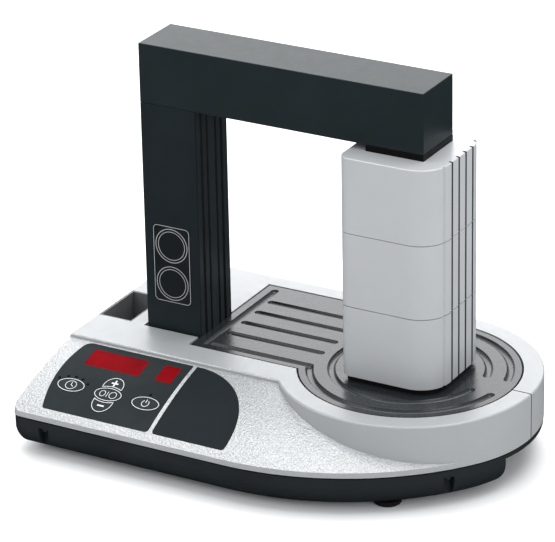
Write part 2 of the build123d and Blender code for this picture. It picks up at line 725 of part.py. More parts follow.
# ---------------------------------------------------------------- post cladding
PANEL_T = 2.0
with BuildPart() as post_front_panel:
    block(POST_X0, POST_X1, CORE_Y0, CORE_Y0 + PANEL_T, LIMB_Z1 + 0.5, LEG_TOP - 0.3)
    face_edges = post_front_panel.faces().sort_by(Axis.Y)[0].edges()
    chamfer(face_edges.filter_by(Axis.Z) + face_edges.group_by(Axis.Z)[-1], 0.5)
finish_part(post_front_panel.part, "post_front_panel")

with BuildPart() as post_rear_panel:
    block(POST_X0, POST_X1, CORE_Y1 - PANEL_T, CORE_Y1, LIMB_Z1 + 0.5, LEG_TOP - 0.3)
    chamfer(post_rear_panel.faces().sort_by(Axis.Y)[-1].edges().filter_by(Axis.Z), 0.4)
finish_part(post_rear_panel.part, "post_rear_panel")

RIBS = [(-22.2, 6.0), (-11.9, 6.0), (0.0, 11.0), (11.9, 6.0), (22.2, 6.0)]
for name, side in (("post_fins_left", -1), ("post_fins_right", 1)):
    with BuildPart() as fins:
        base = POST_X + side * POST_CORE
        back = POST_X + side * (POST_CORE + 1.1)
        tip = POST_X + side * HALF
        y0, y1 = CORE_Y0 + PANEL_T, CORE_Y1 - PANEL_T
        block(min(base, back), max(base, back), y0, y1, LIMB_Z1 + 0.5, LEG_TOP - 0.3)
        for middle, width in RIBS:
            low = AXIS_Y + middle - width / 2
            block(min(back, tip), max(back, tip), low, low + width, LIMB_Z1 + 0.5, LEG_TOP - 0.3)
    finish_part(fins.part, name)

with BuildPart() as post_collar:
    block(POST_X0 - POST_GAP + FIT, POST_X1, CORE_Y0 - POST_GAP + FIT, CORE_Y1 + POST_GAP - FIT,
          LEDGE_Z - 1, DECK_Z - 1)
    block(POST_X0 - 0.1, POST_X1 + 5, CORE_Y0 - 0.1, CORE_Y1 + 0.1, 60, 90, mode=Mode.SUBTRACT)
finish_part(post_collar.part, "post_collar")

LABEL_Z = 141.0
with BuildPart() as post_label:
    with BuildSketch(Plane.XZ.offset(-CORE_Y0)):
        with Locations((POST_X, LABEL_Z)):
            RectangleRounded(38.6, 75, 4)
    extrude(amount=0.2)
finish_part(post_label.part, "post_label")

# ---------------------------------------------------------------- yoke
with BuildPart() as yoke:
    block(POST_X0, COIL_X + HALF, CORE_Y0, CORE_Y1, LEG_TOP, LEG_TOP + CORE)
    chamfer(yoke.edges(), 0.5)
finish_part(yoke.part, "yoke")

# ---------------------------------------------------------------- coil
for index, name in enumerate(("coil_housing_lower", "coil_housing_middle", "coil_housing_upper")):
    low = COIL_LEVELS[index]
    high = COIL_LEVELS[index + 1]
    last = index == 2
    with BuildPart() as housing:
        with BuildSketch(Plane.XY.offset(low + (JOINT_GAP if index else 0))):
            add(coil_outline(0))
        extrude(amount=high - low - (JOINT_GAP if index else 0))
        if last:
            fillet(housing.edges().group_by(Axis.Z)[-1], 1.0)
        with BuildSketch(Plane.XY.offset(low - 1)):
            add(coil_flutes())
        extrude(amount=high - low + 2, mode=Mode.SUBTRACT)
        with BuildSketch(Plane.XY.offset(low)):
            add(coil_outline(WALL + 1.2))
        extrude(amount=high - low - (WALL if last else 0), mode=Mode.SUBTRACT)
        # inner lip that bridges the joint and locates the next segment
        if not last:
            with BuildSketch(Plane.XY.offset(high - 4)):
                add(coil_outline(WALL + 1.2))
                add(coil_outline(WALL + 2.4), mode=Mode.SUBTRACT)
            extrude(amount=4 + JOINT_GAP)
        block(COIL_X - HALF - 0.4, COIL_X + HALF + 0.4, CORE_Y0 - 0.4, CORE_Y1 + 0.4, 270, 300,
              mode=Mode.SUBTRACT)
    finish_part(housing.part, name)

with BuildPart() as coil_seat:
    with BuildSketch(Plane.XY.offset(PLATE_TOP)):
        add(coil_outline(3.5))
        with Locations((COIL_X, AXIS_Y)):
            Rectangle(CORE + 1, CORE + 1, mode=Mode.SUBTRACT)
    extrude(amount=COIL_LEVELS[0] - PLATE_TOP)
finish_part(coil_seat.part, "coil_seat")

with BuildPart() as coil_bobbin:
    for z in (COIL_LEVELS[0], 278.0):
        with BuildSketch(Plane.XY.offset(z)):
            with Locations((COIL_X, AXIS_Y)):
                RectangleRounded(77, 77, 6)
        extrude(amount=2.4)
    with BuildSketch(Plane.XY.offset(COIL_LEVELS[0])):
        with Locations((COIL_X, AXIS_Y)):
            RectangleRounded(CORE + 6, CORE + 6, 3)
    extrude(amount=198)
    block(COIL_X - HALF - 0.5, COIL_X + HALF + 0.5, CORE_Y0 - 0.5, CORE_Y1 + 0.5, 50, 300,
          mode=Mode.SUBTRACT)
finish_part(coil_bobbin.part, "coil_bobbin")

with BuildPart() as coil_winding:
    with BuildSketch(Plane.XY.offset(COIL_LEVELS[0] + 2.6)):
        with Locations((COIL_X, AXIS_Y)):
            RectangleRounded(75, 75, 10)
            Rectangle(CORE + 6.4, CORE + 6.4, mode=Mode.SUBTRACT)
    extrude(amount=192.8)
finish_part(coil_winding.part, "coil_winding")

# ---------------------------------------------------------------- control panel
with BuildPart() as keypad_membrane:
    add(slope_piece(keypad_outline(), -PANEL_DEPTH, PANEL_PROUD))
    for key in KEYS:
        with BuildSketch(Plane.XY.offset(25)):
            add(key_outline(key, 0.3))
        extrude(amount=70, mode=Mode.SUBTRACT)
    for name in ("main", "unit"):
        with BuildSketch(Plane.XY.offset(25)):
            add(window_outline(name, 0.15))
        extrude(amount=70, mode=Mode.SUBTRACT)
    for x, s in LEDS:
        with BuildSketch(slope_plane(x, s).offset(5)):
            Circle(1.4)
        extrude(amount=-10, mode=Mode.SUBTRACT)
finish_part(keypad_membrane.part, "keypad_membrane")

with BuildPart() as trim_panel:
    add(slope_piece(trim_outline(), -PANEL_DEPTH, PANEL_PROUD))
finish_part(trim_panel.part, "trim_panel")

for name in ("main", "unit"):
    with BuildPart() as window:
        add(slope_piece(window_outline(name), -PANEL_DEPTH, PANEL_PROUD))
    finish_part(window.part, f"display_window_{name}")

with BuildPart() as indicator_leds:
    for x, s in LEDS:
        with BuildSketch(slope_plane(x, s).offset(PANEL_PROUD)):
            Circle(1.25)
        extrude(amount=-1.1)
        with BuildSketch(slope_plane(x, s).offset(-1.0)):
            Circle(0.7)
        extrude(amount=-4)
finish_part(indicator_leds.part, "indicator_leds")

for key in KEYS:
    with BuildPart() as cap:
        add(slope_piece(key_outline(key), KEY_BOTTOM, KEY_PROUD))
        start = KEY_BOTTOM + 0.3
        with BuildSketch(slope_plane(*KEYS[key]).offset(start)):
            Circle(PLUNGER_R)
        depth = slope_rise(KEYS[key][1]) + start + BOARD_DROP - SWITCH_H - SWITCH_GAP
        extrude(amount=-depth)
    finish_part(cap.part, key)

BOARD = Plane(
    origin=(0, -HALF_W, RIM_Z),
    x_dir=(1, 0, 0),
    z_dir=(0, -SLOPE_SIN, SLOPE_COS),
)
with BuildPart() as control_board:
    with BuildSketch(BOARD.offset(-BOARD_DROP)):
        with Locations((-136, 53)):
            Rectangle(114, 76)
    extrude(amount=-1.6)
finish_part(control_board.part, "control_board")

with BuildPart() as key_switches:
    with BuildSketch(BOARD.offset(-BOARD_DROP)):
        with Locations(*KEYS.values()):
            Rectangle(6.2, 6.2)
    extrude(amount=SWITCH_H)
finish_part(key_switches.part, "key_switches")

with BuildPart() as display_modules:
    with BuildSketch(BOARD.offset(-BOARD_DROP)):
        for x0, x1 in WINDOWS.values():
            with Locations(((x0 + x1) / 2, (WINDOW_S0 + WINDOW_S1) / 2)):
                Rectangle(x1 - x0 - 4, 19)
    extrude(amount=10.2)
finish_part(display_modules.part, "display_modules")

# ---------------------------------------------------------------- power electronics
PB_X0, PB_X1, PB_Y0, PB_Y1 = -60.0, 52.0, 76.0, 124.0
PB_Z = 17.5
PB_POSTS = [(PB_X0 + 6, PB_Y0 + 6), (PB_X1 - 6, PB_Y0 + 6), (PB_X0 + 6, PB_Y1 - 10)]
with BuildPart() as board_posts:
    for x, y in PB_POSTS:
        rod(x, y, FOOT_H + WALL, PB_Z, 3.5)
    for x in (-187, -85):
        with BuildSketch(BOARD.offset(-BOARD_DROP - 1.6)):
            with Locations((x, 60)):
                Circle(2.5)
        extrude(amount=-8)
finish_part(board_posts.part, "board_posts")

with BuildPart() as power_board:
    block(PB_X0, PB_X1, PB_Y0, PB_Y1, PB_Z, PB_Z + 1.6)
finish_part(power_board.part, "power_board")

with BuildPart() as heat_sink:
    block(PB_X0 + 4, PB_X0 + 44, PB_Y0 + 4, PB_Y0 + 34, PB_Z + 1.6, PB_Z + 5)
    for index in range(7):
        x = PB_X0 + 4 + index * 6.2
        block(x, x + 2, PB_Y0 + 4, PB_Y0 + 34, PB_Z + 4, PB_Z + 28)
finish_part(heat_sink.part, "heat_sink")

with BuildPart() as capacitors:
    for x in (6, 24, 42):
        rod(x, PB_Y0 + 14, PB_Z + 1.6, PB_Z + 31, 7.5)
finish_part(capacitors.part, "capacitors")

with BuildPart() as control_transformer:
    block(-10, 34, PB_Y0 + 26, PB_Y0 + 44, PB_Z + 1.6, PB_Z + 26)
finish_part(control_transformer.part, "control_transformer")

# ---------------------------------------------------------------- connector panel
with BuildPart() as connector_panel:
    block(PANEL_X0 + FIT, PANEL_X1 - FIT, PANEL_FLOOR_Y - 2.2, HALF_W - 0.3, PANEL_Z0 + FIT,
          PANEL_Z1 - FIT)
    block(PANEL_X0 + FIT + 1.8, PANEL_X1 - FIT - 1.8, PANEL_FLOOR_Y, HALF_W + 5,
          PANEL_Z0 + FIT + 1.8, PANEL_Z1 - FIT - 1.8, mode=Mode.SUBTRACT)
    block(INLET_X - 13.7, INLET_X + 13.7, 120, 150, PANEL_MID_Z - 10, PANEL_MID_Z + 10,
          mode=Mode.SUBTRACT)
    block(SWITCH_X - 7.6, SWITCH_X + 7.6, 120, 150, PANEL_MID_Z - 12.6, PANEL_MID_Z + 12.6,
          mode=Mode.SUBTRACT)
    rod_y(FUSE_X, 120, 150, PANEL_MID_Z, 6.1, mode=Mode.SUBTRACT)
    rod_y(PROBE_X, 120, 150, PANEL_MID_Z, 5.1, mode=Mode.SUBTRACT)
finish_part(connector_panel.part, "connector_panel")

with BuildPart() as mains_inlet:
    block(INLET_X - 13.5, INLET_X + 13.5, 112, PANEL_FLOOR_Y + 2, PANEL_MID_Z - 9.8,
          PANEL_MID_Z + 9.8)
    block(INLET_X - 16, INLET_X + 16, PANEL_FLOOR_Y, PANEL_FLOOR_Y + 2.4, PANEL_MID_Z - 12,
          PANEL_MID_Z + 12)
    block(INLET_X - 11.8, INLET_X + 11.8, 118, 150, PANEL_MID_Z - 7.8, PANEL_MID_Z + 7.8,
          mode=Mode.SUBTRACT)
    for dx, dz in ((-6.5, -2), (0, 2), (6.5, -2)):
        block(INLET_X + dx - 1, INLET_X + dx + 1, 117, 132, PANEL_MID_Z + dz - 2.4,
              PANEL_MID_Z + dz + 2.4)
finish_part(mains_inlet.part, "mains_inlet")

with BuildPart() as fuse_holder:
    rod_y(FUSE_X, 112, PANEL_FLOOR_Y + 1, PANEL_MID_Z, 5.9)
    rod_y(FUSE_X, PANEL_FLOOR_Y, PANEL_FLOOR_Y + 5, PANEL_MID_Z, 7.5)
    block(FUSE_X - 5, FUSE_X + 5, PANEL_FLOOR_Y + 4, 150, PANEL_MID_Z - 0.7, PANEL_MID_Z + 0.7,
          mode=Mode.SUBTRACT)
finish_part(fuse_holder.part, "fuse_holder")

with BuildPart() as probe_socket:
    rod_y(PROBE_X, 116, PANEL_FLOOR_Y + 1, PANEL_MID_Z, 4.9)
    rod_y(PROBE_X, PANEL_FLOOR_Y, PANEL_FLOOR_Y + 3.5, PANEL_MID_Z, 7.0)
    rod_y(PROBE_X, 122, 150, PANEL_MID_Z, 2.6, mode=Mode.SUBTRACT)
finish_part(probe_socket.part, "probe_socket")

with BuildPart() as switch_frame:
    block(SWITCH_X - 7.4, SWITCH_X + 7.4, 118, PANEL_FLOOR_Y + 2, PANEL_MID_Z - 12.4,
          PANEL_MID_Z + 12.4)
    block(SWITCH_X - 9, SWITCH_X + 9, PANEL_FLOOR_Y, PANEL_FLOOR_Y + 2, PANEL_MID_Z - 13.3,
          PANEL_MID_Z + 13.3)
    block(SWITCH_X - 6.2, SWITCH_X + 6.2, 121, 150, PANEL_MID_Z - 11.6, PANEL_MID_Z + 11.6,
          mode=Mode.SUBTRACT)
    with Locations(Location((SWITCH_X, ROCKER_Y, PANEL_MID_Z), (0, 90, 0))):
        Cylinder(1.26, 16, mode=Mode.SUBTRACT)
finish_part(switch_frame.part, "switch_frame")

with BuildPart() as power_switch:
    tilt = radians(-ROCKER_TILT)
    pivot = Plane(
        origin=(SWITCH_X - 5.9, ROCKER_Y, PANEL_MID_Z),
        x_dir=(0, cos(tilt), sin(tilt)),
        z_dir=(1, 0, 0),
    )
    with BuildSketch(pivot):
        Circle(ROCKER_R)
        with BuildLine():
            Polyline((-20, -20), (8.6, -20), (8.6, -11.5), (7.0, 0), (8.6, 11.5), (8.6, 20),
                     (-20, 20), close=True)
        make_face(mode=Mode.INTERSECT)
        with Locations((-8, 0)):
            Rectangle(12, 30, mode=Mode.SUBTRACT)
    extrude(amount=11.8)
    with Locations(Location((SWITCH_X, ROCKER_Y, PANEL_MID_Z), (0, 90, 0))):
        Cylinder(1.2, 14.4)
finish_part(power_switch.part, "power_switch")
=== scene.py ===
"""Looks for the bearing induction heater: materials, printed marks, light and camera.

Everything is in metres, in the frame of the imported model.
"""

import json
from math import cos, pi, radians, sin

import bmesh
import bpy
from mathutils import Matrix, Vector
from mathutils.bvhtree import BVHTree


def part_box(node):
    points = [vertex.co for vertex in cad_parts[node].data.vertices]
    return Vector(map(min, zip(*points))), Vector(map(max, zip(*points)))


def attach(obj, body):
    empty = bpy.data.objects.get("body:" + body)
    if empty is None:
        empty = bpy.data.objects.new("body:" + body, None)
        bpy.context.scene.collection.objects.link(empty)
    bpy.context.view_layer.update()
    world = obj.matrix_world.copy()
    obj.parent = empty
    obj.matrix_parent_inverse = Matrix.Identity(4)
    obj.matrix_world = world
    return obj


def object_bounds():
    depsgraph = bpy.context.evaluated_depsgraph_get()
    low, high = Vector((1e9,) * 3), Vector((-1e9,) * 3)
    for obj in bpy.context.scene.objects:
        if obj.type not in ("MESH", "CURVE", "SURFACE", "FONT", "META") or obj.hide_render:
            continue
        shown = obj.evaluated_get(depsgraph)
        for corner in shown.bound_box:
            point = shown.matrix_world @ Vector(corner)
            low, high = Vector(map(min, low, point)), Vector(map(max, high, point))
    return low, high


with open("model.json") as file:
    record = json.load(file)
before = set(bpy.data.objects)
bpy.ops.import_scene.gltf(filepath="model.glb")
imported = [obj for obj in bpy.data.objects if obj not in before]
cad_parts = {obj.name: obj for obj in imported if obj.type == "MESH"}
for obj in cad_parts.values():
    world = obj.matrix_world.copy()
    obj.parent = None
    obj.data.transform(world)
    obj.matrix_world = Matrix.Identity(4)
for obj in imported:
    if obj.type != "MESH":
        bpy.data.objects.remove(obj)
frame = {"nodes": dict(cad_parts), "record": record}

CAD_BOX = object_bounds()
MM = 0.001
BODY = "heater"
NODES = frame["nodes"]


# ---------------------------------------------------------------- material toolkit
PATTERN_LOW, PATTERN_HIGH = 0.3, 0.7  # most of a noise pattern's values lie between these


class Surface:
    """A Principled material whose colour, roughness and relief come from procedural nodes."""

    def __init__(self, name, color, rough, metallic=0.0, specular=0.5):
        self.material = bpy.data.materials.new(name)
        self.material.use_nodes = True
        self.tree = self.material.node_tree
        self.shader = self.tree.nodes["Principled BSDF"]
        self.shader.inputs["Metallic"].default_value = metallic
        self.shader.inputs["Specular IOR Level"].default_value = specular
        self.color = color
        self.rough = rough
        self.where = self.add("ShaderNodeTexCoord").outputs["Object"]
        self.relief = None

    def add(self, kind):
        """Adds a node of a kind."""
        return self.tree.nodes.new(kind)

    def join(self, output, socket):
        """Links an output to an input."""
        self.tree.links.new(output, socket)

    def stretched(self, scale):
        """Object coordinates scaled per axis."""
        node = self.add("ShaderNodeMapping")
        node.inputs["Scale"].default_value = scale
        self.join(self.where, node.inputs["Vector"])
        return node.outputs["Vector"]

    def noise(self, size, detail=3.0, stretch=None, rough=0.5):
        """Noise whose features are about size metres across."""
        node = self.add("ShaderNodeTexNoise")
        node.inputs["Scale"].default_value = 1.0 / size
        node.inputs["Detail"].default_value = detail
        node.inputs["Roughness"].default_value = rough
        self.join(self.stretched(stretch) if stretch else self.where, node.inputs["Vector"])
        return node.outputs["Fac"]

    def cells(self, size):
        """Cell pattern whose cells are about size metres across."""
        node = self.add("ShaderNodeTexVoronoi")
        node.inputs["Scale"].default_value = 1.0 / size
        self.join(self.where, node.inputs["Vector"])
        return node.outputs["Distance"]

    def spread(self, value, low, high):
        """Maps a pattern onto a range."""
        node = self.add("ShaderNodeMapRange")
        node.inputs["From Min"].default_value = PATTERN_LOW
        node.inputs["From Max"].default_value = PATTERN_HIGH
        node.inputs["To Min"].default_value = low
        node.inputs["To Max"].default_value = high
        self.join(value, node.inputs["Value"])
        return node.outputs["Result"]

    def tint(self, value, other, from_low=PATTERN_LOW, from_high=PATTERN_HIGH):
        """Blends the base colour towards another by a pattern."""
        ramp = self.add("ShaderNodeValToRGB")
        ramp.color_ramp.elements[0].position = from_low
        ramp.color_ramp.elements[0].color = (*self.color, 1)
        ramp.color_ramp.elements[1].position = from_high
        ramp.color_ramp.elements[1].color = (*other, 1)
        self.join(value, ramp.inputs["Fac"])
        self.join(ramp.outputs["Color"], self.shader.inputs["Base Color"])

    def glossiness(self, value, reach):
        """Varies roughness about its middle by a pattern."""
        result = self.spread(value, self.rough - reach, self.rough + reach)
        self.join(result, self.shader.inputs["Roughness"])

    def bump(self, value, depth):
        """Adds relief of about depth metres; later calls build on earlier ones."""
        node = self.add("ShaderNodeBump")
        node.inputs["Strength"].default_value = 1.0
        node.inputs["Distance"].default_value = depth
        self.join(value, node.inputs["Height"])
        if self.relief is not None:
            self.join(self.relief, node.inputs["Normal"])
        self.relief = node.outputs["Normal"]
        self.join(self.relief, self.shader.inputs["Normal"])


def shade(color, factor):
    """A darker or lighter version of a colour."""
    return tuple(min(1.0, c * factor) for c in color)


def moulded(name, color, rough, grain=0.0006, depth=0.00003, vary=0.94, uneven=0.05, **more):
    """Injection-moulded or painted surface with a fine grain and slight blotches."""
    made = Surface(name, color, rough, **more)
    made.tint(made.noise(0.05, detail=4.0), shade(color, vary))
    made.glossiness(made.noise(0.008, detail=4.0), uneven)
    made.bump(made.noise(grain, detail=2.0), depth)
    return made.material


def hammered(name, color, rough):
    """Coarse sparkling hammer finish of the control slope."""
    made = Surface(name, color, rough, metallic=0.4, specular=0.5)
    made.tint(made.noise(0.0012, detail=1.0), shade(color, 0.74), from_low=0.42, from_high=0.62)
    made.glossiness(made.noise(0.0018, detail=2.0), 0.08)
    made.bump(made.noise(0.0022, detail=2.0, rough=0.6), 0.0007)
    return made.material


def brushed(name, color, rough, stretch):
    """Drawn or ground metal, with lines across the stretched axis."""
    made = Surface(name, color, rough, metallic=1.0)
    lines = made.noise(0.002, detail=3.0, stretch=stretch)
    made.tint(lines, shade(color, 0.8))
    made.glossiness(lines, 0.1)
    made.bump(lines, 0.00002)
    return made.material


def laminated(name, color, rough):
    """Ground edges of stacked electrical sheet."""
    made = Surface(name, color, rough, metallic=0.8)
    sheets = made.noise(0.0012, detail=1.0, stretch=(0.02, 1.0, 0.02))
    made.tint(sheets, shade(color, 0.55))
    made.glossiness(sheets, 0.12)
    made.bump(sheets, 0.00008)
    return made.material


def wound(name, color, rough):
    """Enamelled wire in layers."""
    made = Surface(name, color, rough, metallic=0.7)
    turns = made.add("ShaderNodeTexWave")
    turns.bands_direction = "Z"
    turns.inputs["Scale"].default_value = 160
    turns.inputs["Distortion"].default_value = 0.4
    made.join(made.where, turns.inputs["Vector"])
    made.tint(turns.outputs["Fac"], shade(color, 0.5), from_low=0.1, from_high=0.9)
    made.glossiness(made.noise(0.004), 0.1)
    made.bump(turns.outputs["Fac"], 0.0005)
    return made.material


def board(name, color, rough):
    """Printed circuit board with faint tracks."""
    made = Surface(name, color, rough)
    made.tint(made.cells(0.006), shade(color, 1.8), from_high=0.34)
    made.glossiness(made.noise(0.004), 0.08)
    made.bump(made.cells(0.006), 0.00005)
    return made.material


def filter_red(name, color, rough):
    """Clear red filter over a display."""
    made = Surface(name, color, rough, specular=0.02)
    made.tint(made.noise(0.03, detail=3.0), shade(color, 0.72))
    made.glossiness(made.noise(0.01, detail=3.0), 0.04)
    made.bump(made.noise(0.02, detail=2.0), 0.00001)
    return made.material


SILVER = (0.385, 0.396, 0.402)
BRIGHT_SILVER = (0.48, 0.49, 0.495)
GRAPHITE = (0.0185, 0.0225, 0.0245)
BLUE_BLACK = (0.0125, 0.0185, 0.0215)
CHARCOAL = (0.0135, 0.0185, 0.0205)

LOOKS = {
    "cover": moulded("cover_satin", SILVER, 0.38, grain=0.0014, depth=0.00003, vary=0.95,
                     metallic=0.12),
    "tray": moulded("tray_matt", CHARCOAL, 0.55, grain=0.0009, depth=0.00006, vary=0.8,
                    specular=0.3),
    "rubber": moulded("rubber_feet", (0.008, 0.008, 0.009), 0.75, depth=0.00008, vary=0.7,
                      specular=0.2),
    "screw": brushed("zinc_screw", (0.75, 0.76, 0.78), 0.28, (1.0, 0.1, 1.0)),
    "plate": moulded("plate_graphite", GRAPHITE, 0.27, grain=0.0016, depth=0.00002, vary=0.9,
                     uneven=0.012, specular=0.45),
    "plated_steel": brushed("plated_steel", (0.55, 0.56, 0.57), 0.35, (0.05, 1.0, 1.0)),
    "bin": moulded("bin_grey", (0.16, 0.165, 0.17), 0.5, grain=0.0009, depth=0.00004),
    "lamination": laminated("laminated_steel", (0.2, 0.21, 0.22), 0.42),
    "post_paint": moulded("post_paint", BLUE_BLACK, 0.4, grain=0.0008, depth=0.00002, vary=0.8,
                          specular=0.12),
    "black_trim": moulded("black_trim", (0.003, 0.0032, 0.0034), 0.45, depth=0.00003, vary=0.8,
                          specular=0.15),
    "label": moulded("label_film", (0.009, 0.012, 0.0145), 0.4, depth=0.00001, vary=0.85,
                     specular=0.15),
    "yoke_paint": moulded("yoke_paint", (0.0145, 0.0215, 0.024), 0.32, grain=0.0008,
                          depth=0.00002, vary=0.85, uneven=0.02, specular=0.12),
    "coil_shell": moulded("coil_shell", (0.515, 0.527, 0.538), 0.34, grain=0.003, depth=0.00001,
                          vary=0.96, metallic=0.15),
    "bobbin": moulded("bobbin_natural", (0.5, 0.47, 0.38), 0.5),
    "copper": wound("copper_winding", (0.6, 0.26, 0.12), 0.35),
    "keypad": moulded("keypad_film", (0.026, 0.0315, 0.0345), 0.5, depth=0.00001, vary=0.72,
                      specular=0.03),
    "trim": moulded("trim_film", (0.0165, 0.0215, 0.025), 0.5, depth=0.00001, vary=0.85,
                    specular=0.03),
    "display_red": filter_red("display_red", (0.235, 0.0008, 0.0045), 0.5),
    "led": moulded("led_lens", (0.0008, 0.0008, 0.0008), 0.5, depth=0.00001, vary=0.8,
                   specular=0.02),
    "key": moulded("key_film", (0.031, 0.037, 0.04), 0.5, depth=0.00001, vary=0.85,
                   specular=0.03),
    "circuit_board": board("circuit_board", (0.015, 0.11, 0.04), 0.35),
    "aluminium": brushed("aluminium", (0.7, 0.71, 0.72), 0.3, (1.0, 1.0, 0.05)),
    "capacitor": moulded("capacitor_sleeve", (0.02, 0.03, 0.09), 0.25),
    "transformer": moulded("potted_block", (0.12, 0.09, 0.03), 0.45),
    "rocker": moulded("rocker_black", (0.015, 0.015, 0.016), 0.25, depth=0.00002, vary=0.8),
}
HAMMERED = hammered("cover_hammered", BRIGHT_SILVER, 0.34)
# painted shade: near-black for the faces inside the seam between the covers, which are the
# covers' silver plastic
SEAM_PAINTED_SHADE = moulded("seam_painted_shade", (0.01, 0.011, 0.012), 0.6, depth=0.00001, specular=0.1)
# painted shade: dark grey for the faces inside the housing's flutes and segment joints, which
# are the housing's silver plastic
FLUTE_PAINTED_SHADE = moulded("flute_painted_shade", (0.05, 0.056, 0.06), 0.5, depth=0.00001, specular=0.1)
POLE_BLACK = moulded("pole_black", (0.0015, 0.0017, 0.002), 0.4, depth=0.00002, vary=0.8,
                     specular=0.1)
FIN_PAINT = moulded("fin_paint", (0.02, 0.026, 0.028), 0.35, grain=0.0008, depth=0.00002,
                    vary=0.7, specular=0.3)
PRINT = moulded("pale_print", (0.8, 0.82, 0.83), 0.6, depth=0.00001, specular=0.1)
DIM_PRINT = moulded("dim_print", (0.4, 0.42, 0.43), 0.6, depth=0.00001, specular=0.1)

SLOT_OF = {part["node"]: part["material_slot"] for part in frame["record"]["subparts"]}
for node_name, node in NODES.items():
    node.data.materials.clear()
    node.data.materials.append(LOOKS[SLOT_OF[node_name]])
for node_name in ("post_fins_left", "post_fins_right"):
    NODES[node_name].data.materials[0] = FIN_PAINT


# ---------------------------------------------------------------- finishes and painted shade of single faces
# share of a face's normal along an axis from which the face counts as looking that way
LOOKS_MOSTLY = 0.5
LOOKS_PLAINLY = 0.9
LOOKS_STRAIGHT = 0.99
LOOKS_EXACTLY = 0.995

CREASE_BACK = 3.5 * MM  # the slope's upper crease lies this far behind the keypad
COVER_SKIN = 4.5 * MM  # height above the cover's lower edge up to which faces stay plain
RING_SLACK = 0.1 * MM  # keeps the round end's own edge out of the slope
SEAM_REACH = 1.2 * MM  # faces of the seam lie this close to the middle of the round end
JOINT_REACH = 0.1 * MM  # faces of a joint lie this close to a housing segment's end
FLUTE_ZONE_X = 22 * MM  # the flutes reach this far in from the housing's right side
FLUTE_ZONE_Y = 30 * MM  # and start this far behind its front
FLUTE_BACK = 0.5 * MM  # faces this close to the housing's back aren't flutes
FLUTE_FLOOR = 2.2 * MM  # floors lie at least this deep
FLUTE_SLANT = (-0.9, -0.7)  # how far the slanted walls look forwards


def plate_axis_y():
    """Mid-plane of the coil core, which is also the middle of the round end."""
    low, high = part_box("coil_core")
    return (low.y + high.y) / 2


def paint_poles():
    """The coil core shows bare sheet edges on top and black paint elsewhere."""
    mesh = NODES["coil_core"].data
    mesh.materials[0] = POLE_BLACK
    mesh.materials.append(LOOKS["lamination"])
    for face in mesh.polygons:
        if face.normal.z > LOOKS_PLAINLY:
            face.material_index = 1


def paint_slope():
    """The hammer finish covers the slope only: not the deck, the ring or the upright rim."""
    cover = NODES["front_cover"]
    low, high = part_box("front_cover")
    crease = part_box("keypad_membrane")[1].y + CREASE_BACK
    disc_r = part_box("rear_cover")[1].y - plate_axis_y()
    middle = Vector((high.x - disc_r, plate_axis_y()))
    cover.data.materials.append(HAMMERED)
    for face in cover.data.polygons:
        at = face.center
        outside = (Vector((at.x, at.y)) - middle).length > disc_r + RING_SLACK
        inner_skin = at.z < low.z + COVER_SKIN
        if at.y < crease and outside and face.normal.z > LOOKS_MOSTLY and not inner_skin:
            face.material_index = 1


def paint_seam():
    """Faces inside the seam between the covers are painted dark: painted shade of the narrow gap
    between them.
    """
    middle = plate_axis_y()
    for name in ("front_cover", "rear_cover"):
        mesh = NODES[name].data
        mesh.materials.append(SEAM_PAINTED_SHADE)
        for face in mesh.polygons:
            near = abs(face.center.y - middle) < SEAM_REACH
            if near and abs(face.normal.y) > LOOKS_STRAIGHT:
                # painted shade on the seam's faces
                face.material_index = len(mesh.materials) - 1


def paint_flutes():
    """Faces inside the housing's flutes and in the joints between its segments are painted dark:
    painted shade of the deep grooves and of the gaps between segments.
    """
    for name in ("coil_housing_lower", "coil_housing_middle", "coil_housing_upper"):
        low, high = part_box(name)
        mesh = NODES[name].data
        mesh.materials.append(FLUTE_PAINTED_SHADE)
        for face in mesh.polygons:
            at, normal = face.center, face.normal
            at_end = abs(at.z - low.z) < JOINT_REACH or at.z > high.z - JOINT_REACH
            level = abs(normal.z) > LOOKS_STRAIGHT
            joint = level and at_end and name != "coil_housing_upper"
            in_zone = at.x > high.x - FLUTE_ZONE_X and at.y > low.y + FLUTE_ZONE_Y
            slanted = FLUTE_SLANT[0] < normal.y < FLUTE_SLANT[1]
            wall = slanted or abs(normal.y) > LOOKS_EXACTLY
            floor = normal.x > LOOKS_EXACTLY and at.x < high.x - FLUTE_FLOOR
            flute = in_zone and (wall or floor) and at.y < high.y - FLUTE_BACK
            if joint or flute:
                # painted shade on flute and joint faces
                face.material_index = 1


paint_poles()
paint_slope()
paint_seam()
paint_flutes()


# ---------------------------------------------------------------- printed marks
PRINT_LIFT = 0.04 * MM  # half the thickness of a printed line
DROP_FROM = 1.0  # metres above the bench, well clear of the object
FULL_TURN = 2 * pi
WELD = 1e-6  # vertices closer than this are one
ON_TOP = 0.05 * MM  # a face this close below the first hit from above is a top face
TOP_LOOKS_UP = 0.8  # and its normal points up at least this much
KEY_INSET = 0.6 * MM  # from a key's edge to the middle of its printed outline
KEY_LINE = 0.55 * MM  # widths of printed lines
BOLD_LINE = 0.6 * MM
FINE_LINE = 0.5 * MM
RING_POINTS, CORNER_POINTS = 64, 8


def tree_of(node_name):
    """A search tree of a node's faces."""
    mesh = NODES[node_name].data
    points = [v.co.copy() for v in mesh.vertices]
    return BVHTree.FromPolygons(points, [tuple(p.vertices) for p in mesh.polygons])


def drape(x, y, tree):
    """Drops a plan point onto a node from above; returns the point and the surface normal."""
    return tree.ray_cast(Vector((x, y, DROP_FROM)), Vector((0, 0, -1)))[:2]


